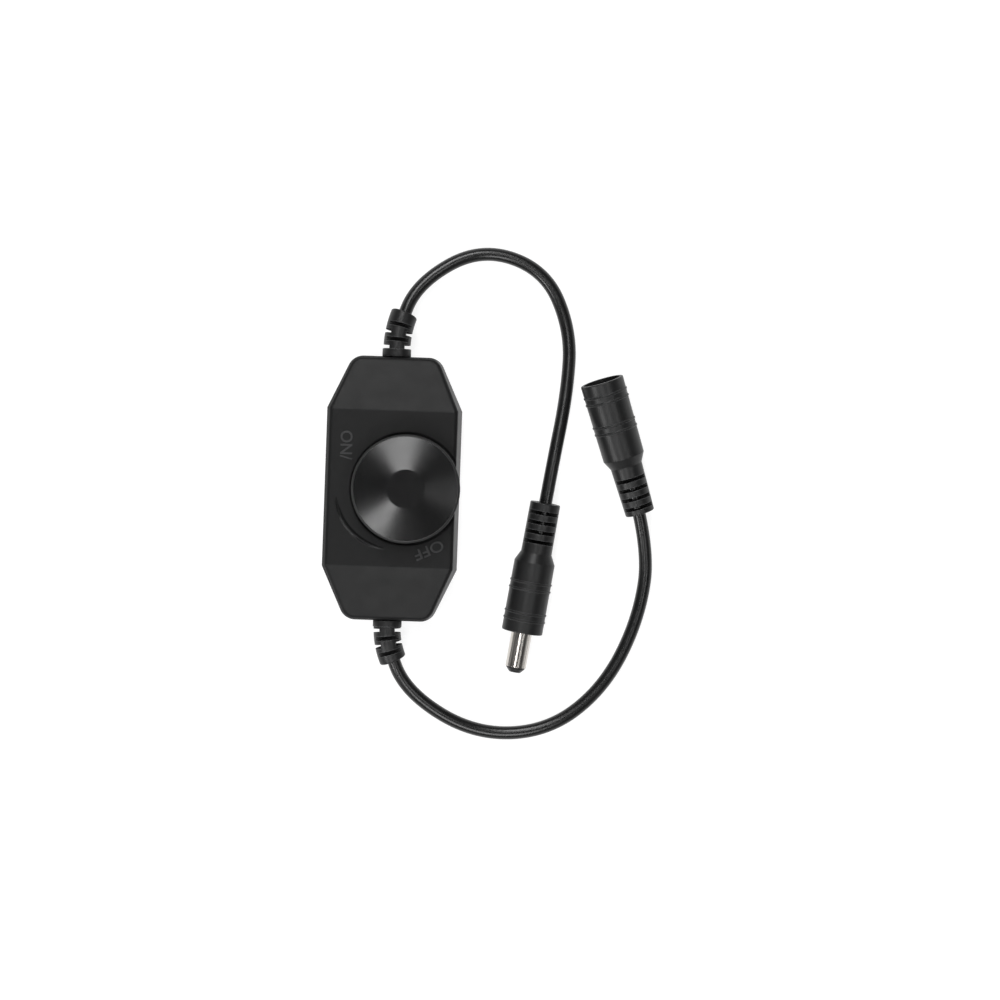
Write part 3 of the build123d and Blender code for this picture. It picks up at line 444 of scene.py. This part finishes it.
def zoned_sheen(tree, sheen, polish, walls, skirt):
    """A roughness that differs on the upright sides, above the flat face or below the knob's rim.

    With walls, the upright sides have that roughness, apart from the side that the knob is set to.
    With polish, what stands above the housing's flat face has that roughness.
    With skirt, what lies below the knob's rim has that roughness.
    """
    if walls is not None:
        facing = tree.geometry("True Normal")
        side = tree.spread(tree.part(facing, "X"), walls, sheen, *KNOB_SIDE_LIMITS)
        sheen = tree.spread(tree.part(facing, "Z"), side, sheen, *UPRIGHT_LIMITS)
    if polish is not None:
        sheen = tree.spread(tree.height(), sheen, polish, FACE_HEIGHT, FACE_HEIGHT + POLISH_RISE)
    if skirt is not None:
        sheen = tree.spread(tree.height(), skirt, sheen, RIM_HEIGHT - RIM_BLEND, RIM_HEIGHT)
    return sheen


def plastic(name, base, patch, smooth, rough, grain, depth, edge, gloss,
            polish=None, walls=None, skirt=None, wear_and_highlight=None, slot_shade_reach=None):
    """Moulded plastic: a colour with faint patches, patchy sheen, fine grain and soft edges.

    With a wear reach, edges are painted pale as far as that from them, as rubbed wear and as a painted
    highlight along the raised rings and edges.
    With a slot reach, places that lie that deep in a slot are matt, and painted shade darkens their
    colour.
    """
    tree = Tree(name)
    colour = tree.blend(tree.noise(PATCHES, SOME_LAYERS), base, patch)
    sheen = tree.spread(tree.noise(SHEEN_PATCHES, MANY_LAYERS), smooth, rough)
    sheen = zoned_sheen(tree, sheen, polish, walls, skirt)
    if wear_and_highlight is not None:
        # Painted highlight and wear: edges are lightened in colour, standing for the highlights along
        # the raised rings as well as rubbed wear.
        colour = tree.blend(tree.edges(wear_and_highlight), colour, grey(WEAR_AND_HIGHLIGHT_LEVEL))
    if slot_shade_reach is not None:
        # Painted shade: the colour is darkened deep in slots, where shade falls, and those places are
        # also made matt.
        share = tree.openness(slot_shade_reach)
        colour = tree.blend(share, grey(SLOT_PAINTED_SHADE_LEVEL), colour)
        sheen = tree.spread(share, SLOT_ROUGHNESS, sheen, 0.0, 1.0)
    tree.set(Base_Color=colour, Roughness=sheen, Specular_IOR_Level=gloss)
    tree.set(Normal=tree.bump(tree.noise(grain), depth, tree.rounded(edge)))
    return tree


def metal(name, clean, dull, smooth, rough, axis):
    """Bare metal: lines drawn along an axis, an uneven sheen and a little tarnish."""
    tree = Tree(name)
    lines = tree.noise(METAL_LINES, SOME_LAYERS, tree.stretched(axis))
    tree.set(Metallic=1.0)
    tree.set(Base_Color=tree.blend(tree.noise(SHEEN_PATCHES, SOME_LAYERS), clean, dull))
    tree.set(Roughness=tree.spread(lines, smooth, rough))
    tree.set(Normal=tree.bump(lines, LINE_DEPTH, tree.rounded(METAL_EDGE)))
    return tree


def laminate():
    """Green solder mask over raised tracks, with bare laminate at the cut edges."""
    tree = Tree("board_laminate")
    wave = tree.add(
        "ShaderNodeTexWave", {"wave_profile": "TRI"},
        Scale=TRACKS, Distortion=TRACK_WANDER, Vector=tree.place,
    )
    tracks = tree.spread(wave.outputs["Fac"], 0.0, 1.0, *TRACK_LIMITS)
    mask = tree.blend(tracks, MASK_COLOUR, TRACK_COLOUR)
    facing = tree.part(tree.geometry("Normal"), "Z")
    flat = tree.number("GREATER_THAN", tree.number("ABSOLUTE", facing), MASK_LIMIT)
    tree.set(Base_Color=tree.blend(flat, CUT_COLOUR, mask))
    tree.set(Roughness=tree.spread(tree.noise(SHEEN_PATCHES), *MASK_ROUGHNESS))
    tree.set(Normal=tree.bump(tracks, TRACK_DEPTH))
    return tree


def epoxy():
    """Black moulded bodies, with tinned feet where they meet the board."""
    tree = Tree("chip_epoxy")
    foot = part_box("circuit_board")[1][2] + FOOT_HEIGHT
    feet = tree.spread(tree.height(), 1.0, 0.0, foot - FOOT_BLEND, foot + FOOT_BLEND)
    body = tree.blend(tree.noise(SHEEN_PATCHES), *[grey(level) for level in EPOXY_LEVELS])
    tree.set(Base_Color=tree.blend(feet, body, TIN_COLOUR))
    tree.set(Metallic=feet)
    tree.set(Roughness=tree.spread(tree.noise(PATCHES), *EPOXY_ROUGHNESS))
    tree.set(Normal=tree.bump(tree.noise(METAL_LINES), LINE_DEPTH, tree.rounded(METAL_EDGE)))
    return tree


def drawn_can():
    """Drawn aluminium, with a dark polarity mark along one side."""
    tree = Tree("capacitor_can")
    low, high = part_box("filter_capacitor")
    start = (low[0] + high[0]) / 2 + (high[0] - low[0]) / 2 * CAN_MARK_SHARE
    mark = tree.spread(tree.part(tree.place, "X"), 0.0, 1.0, start, start + CAN_MARK_BLEND)
    bare = tree.blend(tree.noise(SHEEN_PATCHES), CAN_CLEAN, CAN_DULL)
    lines = tree.noise(METAL_LINES, SOME_LAYERS, tree.stretched(UPWARDS))
    tree.set(Base_Color=tree.blend(mark, bare, grey(CAN_MARK_LEVEL)))
    tree.set(Metallic=tree.spread(mark, 1.0, 0.0))
    tree.set(Roughness=tree.spread(lines, *CAN_ROUGHNESS))
    tree.set(Normal=tree.bump(lines, LINE_DEPTH))
    return tree


def black_plastics():
    """The black mouldings: housing, words, knob, overmoulds, cords and insulators."""
    return [
        plastic(
            "housing_plastic", base=grey(0.0056), patch=grey(0.0066), smooth=0.43, rough=0.48,
            grain=7000.0, depth=0.00001, edge=0.0006, gloss=0.18, polish=0.22, walls=0.85,
        ),
        # The words' colour is lighter than the housing's: a painted highlight standing for the light on
        # the raised letters' bevels.
        plastic(
            "word_plastic_painted_highlight", base=grey(0.025), patch=grey(0.03), smooth=0.4, rough=0.46,
            grain=9000.0, depth=0.000004, edge=0.0001, gloss=0.3,
        ),
        plastic(
            "knob_plastic", base=grey(0.005), patch=grey(0.0058), smooth=0.17, rough=0.2,
            grain=9000.0, depth=0.0000008, edge=0.0003, gloss=0.5, skirt=0.62,
        ),
        plastic(
            "overmould_pvc", base=grey(0.0075), patch=grey(0.0095), smooth=0.36, rough=0.43,
            grain=5000.0, depth=0.000006, edge=0.00015, gloss=0.34,
            wear_and_highlight=WEAR_AND_HIGHLIGHT_REACH, slot_shade_reach=SLOT_REACH,
        ),
        plastic(
            "cord_pvc", base=grey(0.006), patch=grey(0.008), smooth=0.25, rough=0.31,
            grain=4000.0, depth=0.000005, edge=0.0001, gloss=0.4,
        ),
        plastic(
            "socket_plastic", base=grey(0.005), patch=grey(0.007), smooth=0.25, rough=0.35,
            grain=6000.0, depth=0.000004, edge=0.0001, gloss=0.4,
        ),
    ]


def inner_plastics():
    """The plastics and the glazed ceramic inside the housing."""
    return [
        plastic(
            "shaft_plastic", base=(0.7, 0.68, 0.6, 1.0), patch=(0.62, 0.6, 0.52, 1.0),
            smooth=0.35, rough=0.5, grain=4000.0, depth=0.000006, edge=0.0001, gloss=0.5,
        ),
        plastic(
            "pot_plastic", base=(0.16, 0.07, 0.03, 1.0), patch=(0.1, 0.045, 0.02, 1.0),
            smooth=0.4, rough=0.55, grain=5000.0, depth=0.000008, edge=0.0001, gloss=0.4,
        ),
        plastic(
            "resistor_ceramic", base=grey(0.014), patch=grey(0.022),
            smooth=0.2, rough=0.3, grain=8000.0, depth=0.000003, edge=0.00008, gloss=0.5,
        ),
        plastic(
            "wire_red", base=(0.42, 0.012, 0.01, 1.0), patch=(0.35, 0.01, 0.009, 1.0),
            smooth=0.28, rough=0.38, grain=4000.0, depth=0.000004, edge=0.0001, gloss=0.5,
        ),
        plastic(
            "wire_black", base=grey(0.008), patch=grey(0.011),
            smooth=0.28, rough=0.38, grain=4000.0, depth=0.000004, edge=0.0001, gloss=0.5,
        ),
    ]


def metals():
    """The plug's barrel and the jack's pin, the contacts, the screws and the pressed cover."""
    plug_axis = mounts["plug_barrel"]["axis"]
    return [
        metal(
            "nickel", clean=(0.66, 0.63, 0.6, 1.0), dull=(0.55, 0.52, 0.48, 1.0),
            smooth=0.17, rough=0.26, axis=plug_axis,
        ),
        metal(
            "contact_brass", clean=(0.75, 0.56, 0.26, 1.0), dull=(0.6, 0.42, 0.18, 1.0),
            smooth=0.22, rough=0.34, axis=plug_axis,
        ),
        metal(
            "screw_steel", clean=(0.62, 0.63, 0.64, 1.0), dull=(0.52, 0.52, 0.5, 1.0),
            smooth=0.26, rough=0.4, axis=UPWARDS,
        ),
        metal(
            "pot_steel", clean=(0.6, 0.6, 0.61, 1.0), dull=(0.5, 0.5, 0.49, 1.0),
            smooth=0.3, rough=0.42, axis=LENGTHWAYS,
        ),
    ]


def make_materials():
    """Every material, by the slot that it is for, and the words' by its own name."""
    trees = [*black_plastics(), *inner_plastics(), *metals(), laminate(), epoxy(), drawn_can()]
    return {tree.name: tree.material for tree in trees}


def make_lamp(name, azimuth, lean, distance, width, depth, radiance):
    """A soft rectangular lamp, by its direction from the object and its brightness."""
    data = bpy.data.lights.new(name, "AREA")
    data.shape = "RECTANGLE"
    data.size = width
    data.size_y = depth
    data.energy = radiance * math.pi * width * depth
    lamp = link(bpy.data.objects.new(name, data))
    turn = math.radians(azimuth)
    tilt = math.radians(lean)
    way = Vector((math.sin(tilt) * math.cos(turn), math.sin(tilt) * math.sin(turn), math.cos(tilt)))
    lamp.location = LAMP_TARGET + way * distance
    lamp.rotation_euler = way.to_track_quat("Z", "Y").to_euler()
    lamp.visible_camera = False


def floor_material():
    """White to the camera, to mirrors and through glass, and grey to the lamps, so that shadows stay."""
    tree = Tree("floor")
    rays = tree.add("ShaderNodeLightPath")
    seen = rays.outputs["Is Camera Ray"]
    for kind in ("Is Glossy Ray", "Is Transmission Ray"):
        seen = tree.number("MAXIMUM", seen, rays.outputs[kind])
    tree.set(Base_Color=FLOOR_COLOUR, Roughness=FLOOR_ROUGHNESS, Emission_Color=WHITE)
    tree.set(Emission_Strength=tree.number("MULTIPLY", seen, FLOOR_GLOW))
    return tree.material


def make_floor():
    """A wide flat floor just under the object."""
    mesh = bpy.data.meshes.new("floor")
    edge = FLOOR_RADIUS
    corners = [(-edge, -edge), (edge, -edge), (edge, edge), (-edge, edge)]
    mesh.from_pydata([(*corner, -FLOOR_DROP) for corner in corners], [], [(0, 1, 2, 3)])
    floor = link(bpy.data.objects.new("floor", mesh))
    dress(floor, floor_material())


def make_world():
    """A dim room, pale along the horizon and dark overhead."""
    world = bpy.data.worlds.new("studio")
    world.use_nodes = True
    tree = world.node_tree
    place = tree.nodes.new("ShaderNodeTexCoord")
    parts = tree.nodes.new("ShaderNodeSeparateXYZ")
    level = tree.nodes.new("ShaderNodeMapRange")
    level.interpolation_type = "SMOOTHSTEP"
    level.inputs["From Max"].default_value = HORIZON_RISE
    level.inputs["To Min"].default_value = HORIZON_LEVEL
    level.inputs["To Max"].default_value = OVERHEAD_LEVEL
    background = tree.nodes["Background"]
    background.inputs["Color"].default_value = WHITE
    tree.links.new(place.outputs["Generated"], parts.inputs["Vector"])
    tree.links.new(parts.outputs["Z"], level.inputs["Value"])
    tree.links.new(level.outputs["Result"], background.inputs["Strength"])
    bpy.context.scene.world = world


def make_pieces(materials):
    """The pieces that are made here, each with its material."""
    output = make_cord(
        "output_lead", OUTPUT_ROUTE, "output_cord",
    )
    intake = make_cord(
        "input_lead", INPUT_ROUTE, "input_cord",
    )
    for cord in (output, intake):
        dress(cord, materials["cord_pvc"])
    on = raised_word("word_on", "ON/", ON_PLACE, ON_HEADING, ON_SIZE)
    off = raised_word("word_off", "OFF", OFF_PLACE, OFF_HEADING, OFF_SIZE)
    for word in (on, off):
        dress(word, materials["word_plastic_painted_highlight"])
    dress(crossed_screws(), materials["screw_steel"])


materials = make_materials()
for part in frame["record"]["subparts"]:
    dress(nodes[part["node"]], materials[part["material_slot"]])
make_camera()
make_pieces(materials)
make_floor()
make_world()
for lamp in LAMPS:
    make_lamp(**lamp)
bpy.context.scene.view_settings.view_transform = "Standard"

bpy.context.view_layer.update()
